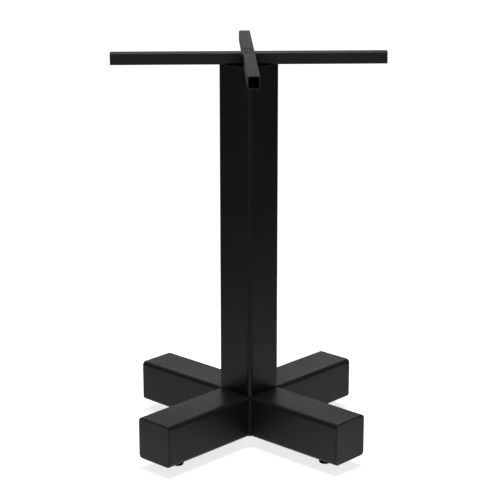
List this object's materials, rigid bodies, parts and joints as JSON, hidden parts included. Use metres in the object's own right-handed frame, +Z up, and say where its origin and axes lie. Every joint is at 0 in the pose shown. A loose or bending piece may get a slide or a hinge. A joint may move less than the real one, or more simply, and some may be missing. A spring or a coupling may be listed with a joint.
{
  "type": "pedestal table base",
  "caption": "Welded square-tube pedestal base for a small table, with a cross of arms on the floor, a bar cross on top and screw-in levelling feet.",
  "frame": {"origin": "on the floor, on the column's axis", "axes": "+Z up along the column; the through bar of the top cross lies along X and the half bars along Y, and the arms lie midway between them; the front is -Y"},
  "size_m": [0.5, 0.5, 0.742],
  "materials": {
    "powder_coat": "satin black powder coat",
    "zinc_steel": "zinc plated",
    "black_nylon": "moulded matte black"
  },
  "bodies": {
    "frame": {"column_tube": "powder_coat", "arm_front_left": "powder_coat", "arm_front_right": "powder_coat", "arm_back_right": "powder_coat", "arm_back_left": "powder_coat", "end_plate_front_left": "powder_coat", "end_plate_front_right": "powder_coat", "end_plate_back_right": "powder_coat", "end_plate_back_left": "powder_coat", "through_bar": "powder_coat", "half_bar_front": "powder_coat", "half_bar_back": "powder_coat", "arm_corner_welds": "powder_coat", "bar_cross_welds": "powder_coat", "bar_seat_welds": "powder_coat", "foot_nuts": "zinc_steel"},
    "foot_front_left": {"foot_pad_front_left": "black_nylon", "foot_stud_front_left": "zinc_steel"},
    "foot_front_right": {"foot_pad_front_right": "black_nylon", "foot_stud_front_right": "zinc_steel"},
    "foot_back_right": {"foot_pad_back_right": "black_nylon", "foot_stud_back_right": "zinc_steel"},
    "foot_back_left": {"foot_pad_back_left": "black_nylon", "foot_stud_back_left": "zinc_steel"}
  },
  "joints": [
    {"name": "level_front_left", "type": "slide", "parent": "frame", "child": "foot_front_left", "axis": [0, 0, 1], "range_m": [-0.012, 0.009]},
    {"name": "level_front_right", "type": "slide", "parent": "frame", "child": "foot_front_right", "axis": [0, 0, 1], "range_m": [-0.012, 0.009]},
    {"name": "level_back_right", "type": "slide", "parent": "frame", "child": "foot_back_right", "axis": [0, 0, 1], "range_m": [-0.012, 0.009]},
    {"name": "level_back_left", "type": "slide", "parent": "frame", "child": "foot_back_left", "axis": [0, 0, 1], "range_m": [-0.012, 0.009]}
  ]
}
